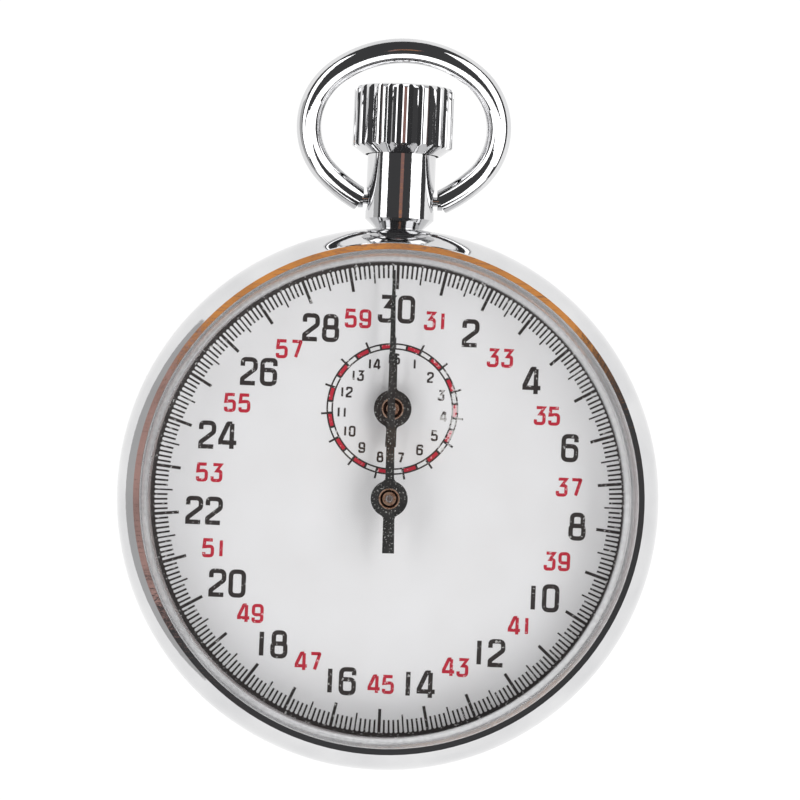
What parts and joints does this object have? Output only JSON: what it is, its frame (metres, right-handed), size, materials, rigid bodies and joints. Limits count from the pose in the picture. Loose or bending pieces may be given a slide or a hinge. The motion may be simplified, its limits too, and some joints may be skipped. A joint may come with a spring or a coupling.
{
  "type": "mechanical stopwatch",
  "caption": "Pocket mechanical stopwatch: round plated case, domed crystal, sweep and minute hands, fluted push-and-wind crown and swinging bow, with its full lever movement inside.",
  "frame": {"origin": "centre of the flat of the back cover, on the surface that the watch rests on", "axes": "+Z out of the dial, +Y towards the pendant and crown, +X towards the dial's 7.5-second side"},
  "size_m": [0.055, 0.0739, 0.0169],
  "materials": {
    "case_plating": "bright chrome plate on brass, lightly smudged",
    "crystal_acrylic": "clear polished acrylic",
    "ring_metal": "bright turned ring",
    "dial_silver": "satin silvered",
    "plate_metal": "nickel-plated, brushed",
    "ruby": "polished synthetic ruby",
    "screw_steel": "polished",
    "steel": "ground and polished",
    "spring_steel": "blued",
    "wheel_brass": "gilt",
    "hand_bush_brass": "turned, slightly toned",
    "hand_black": "satin black lacquer"
  },
  "bodies": {
    "case": {"back_cover": "case_plating", "case_band": "case_plating", "bezel": "case_plating", "crystal": "crystal_acrylic", "crystal_ring": "ring_metal", "dial": "dial_silver", "pendant_tube": "case_plating", "pendant_bush": "steel", "main_plate": "plate_metal", "barrel_bridge": "plate_metal", "train_bridge": "plate_metal", "balance_cock": "plate_metal", "pallet_bridge": "plate_metal", "jewels": "ruby", "bridge_screws": "screw_steel", "case_screws": "screw_steel", "lever_studs": "screw_steel", "wheel_screws": "screw_steel", "regulator": "steel", "hairspring_stud": "steel", "click_spring": "spring_steel", "column_jumper": "spring_steel", "hammer_spring": "spring_steel", "crown_return_spring": "spring_steel"},
    "push_sleeve": {"push_sleeve": "steel"},
    "crown": {"crown_cap": "case_plating", "winding_stem": "steel"},
    "winding_pinion": {"winding_pinion": "steel"},
    "crown_wheel": {"crown_wheel": "steel"},
    "ratchet": {"ratchet_wheel": "steel", "ratchet_screw": "screw_steel", "barrel_arbor": "steel"},
    "barrel": {"barrel_drum": "plate_metal", "barrel_cover": "plate_metal", "mainspring": "spring_steel"},
    "intermediate": {"intermediate_wheel": "wheel_brass"},
    "seconds": {"seconds_wheel": "wheel_brass"},
    "sweep": {"seconds_arbor": "steel", "seconds_heart": "steel", "seconds_hand": "hand_black", "seconds_hand_bush": "hand_bush_brass"},
    "escape": {"escape_wheel": "wheel_brass"},
    "pallet": {"pallet_fork": "steel", "pallet_stones": "ruby"},
    "balance": {"balance_wheel": "wheel_brass", "balance_staff": "steel", "roller": "steel", "hairspring": "spring_steel"},
    "minute_idler": {"minute_idler_wheel": "wheel_brass"},
    "minute": {"minute_wheel": "wheel_brass"},
    "counter": {"minute_arbor": "steel", "minute_heart": "steel", "minute_hand": "hand_black", "minute_hand_bush": "hand_bush_brass"},
    "click": {"click": "steel"},
    "operating_lever": {"operating_lever": "steel"},
    "column_wheel": {"column_wheel": "steel"},
    "hammer": {"reset_hammer": "steel"},
    "brake": {"brake_lever": "steel"},
    "bow": {"bow": "case_plating"}
  },
  "joints": [
    {"name": "crown_push", "type": "slide", "parent": "case", "child": "push_sleeve", "axis": [0, -1, 0], "range_m": [0, 0.0022], "stiffness_N_per_m": 1200, "springref_m": -0.001, "deforming": ["crown_return_spring"]},
    {"name": "crown_wind", "type": "hinge", "parent": "push_sleeve", "child": "crown", "pos_m": [0, 0.0386, 0.0066], "axis": [0, 1, 0], "continuous": true},
    {"name": "winding_pinion_turn", "type": "hinge", "parent": "case", "child": "winding_pinion", "pos_m": [0, 0.0181, 0.0066], "axis": [0, 1, 0], "continuous": true},
    {"name": "crown_wheel_turn", "type": "hinge", "parent": "case", "child": "crown_wheel", "pos_m": [0, 0.0145, 0.0029], "axis": [0, 0, 1], "continuous": true},
    {"name": "ratchet_turn", "type": "hinge", "parent": "case", "child": "ratchet", "pos_m": [-0.0089, 0.00952, 0.0029], "axis": [0, 0, 1], "continuous": true, "deforming": ["mainspring"]},
    {"name": "train_run", "type": "hinge", "parent": "case", "child": "seconds", "pos_m": [0, 0, 0.0066], "axis": [0, 0, -1], "continuous": true},
    {"name": "barrel_turn", "type": "hinge", "parent": "case", "child": "barrel", "pos_m": [-0.0089, 0.00952, 0.0066], "axis": [0, 0, -1], "continuous": true, "deforming": ["mainspring"]},
    {"name": "intermediate_turn", "type": "hinge", "parent": "case", "child": "intermediate", "pos_m": [-0.00591, 0.00103, 0.0066], "axis": [0, 0, -1], "continuous": true},
    {"name": "escape_turn", "type": "hinge", "parent": "case", "child": "escape", "pos_m": [0.00275, -0.00476, 0.0073], "axis": [0, 0, -1], "continuous": true},
    {"name": "minute_idler_turn", "type": "hinge", "parent": "case", "child": "minute_idler", "pos_m": [0.00113, 0.00417, 0.0096], "axis": [0, 0, -1], "continuous": true},
    {"name": "minute_turn", "type": "hinge", "parent": "case", "child": "minute", "pos_m": [0, 0.00908, 0.01], "axis": [0, 0, -1], "continuous": true},
    {"name": "sweep_reset", "type": "hinge", "parent": "seconds", "child": "sweep", "pos_m": [0, 0, 0.008], "axis": [0, 0, -1], "continuous": true},
    {"name": "counter_reset", "type": "hinge", "parent": "minute", "child": "counter", "pos_m": [0, 0.00908, 0.01], "axis": [0, 0, -1], "continuous": true},
    {"name": "pallet_rock", "type": "hinge", "parent": "case", "child": "pallet", "pos_m": [0.00185, -0.00762, 0.0073], "axis": [0, 0, 1], "range_deg": [-5, 5]},
    {"name": "balance_swing", "type": "hinge", "parent": "case", "child": "balance", "pos_m": [0.00068, -0.01134, 0.006], "axis": [0, 0, 1], "range_deg": [-220, 220], "stiffness_Nm_per_rad": 0.000005, "deforming": ["hairspring"]},
    {"name": "click_lift", "type": "hinge", "parent": "case", "child": "click", "pos_m": [-0.017, 0.0106, 0.0029], "axis": [0, 0, 1], "range_deg": [0, 8], "stiffness_Nm_per_rad": 0.002},
    {"name": "operating_lever_turn", "type": "hinge", "parent": "case", "child": "operating_lever", "pos_m": [0.0098, 0.0122, 0.0065], "axis": [0, 0, 1], "range_deg": [0, 14]},
    {"name": "column_turn", "type": "hinge", "parent": "case", "child": "column_wheel", "pos_m": [0.0142, 0.0026, 0.0065], "axis": [0, 0, 1], "continuous": true},
    {"name": "hammer_fall", "type": "hinge", "parent": "case", "child": "hammer", "pos_m": [0.0085, -0.0075, 0.00175], "axis": [0, 0, 1], "range_deg": [0, 3.5]},
    {"name": "brake_swing", "type": "hinge", "parent": "case", "child": "brake", "pos_m": [0.0135, -0.0075, 0.00175], "axis": [0, 0, 1], "range_deg": [-4, 0]},
    {"name": "bow_swing", "type": "hinge", "parent": "case", "child": "bow", "pos_m": [0, 0.0305, 0.0066], "axis": [1, 0, 0], "range_deg": [-112, 68]}
  ],
  "couplings": [
    {"joint": "winding_pinion_turn", "follows": "crown_wind", "ratio": 1},
    {"joint": "crown_wheel_turn", "follows": "crown_wind", "ratio": 0.83333},
    {"joint": "ratchet_turn", "follows": "crown_wind", "ratio": -0.45455},
    {"joint": "barrel_turn", "follows": "train_run", "ratio": 0.0625},
    {"joint": "intermediate_turn", "follows": "train_run", "ratio": -0.25},
    {"joint": "escape_turn", "follows": "train_run", "ratio": -10},
    {"joint": "minute_idler_turn", "follows": "train_run", "ratio": -0.2},
    {"joint": "minute_turn", "follows": "train_run", "ratio": 0.033333},
    {"joint": "operating_lever_turn", "follows": "crown_push", "rad_per_m": 105.5}
  ]
}
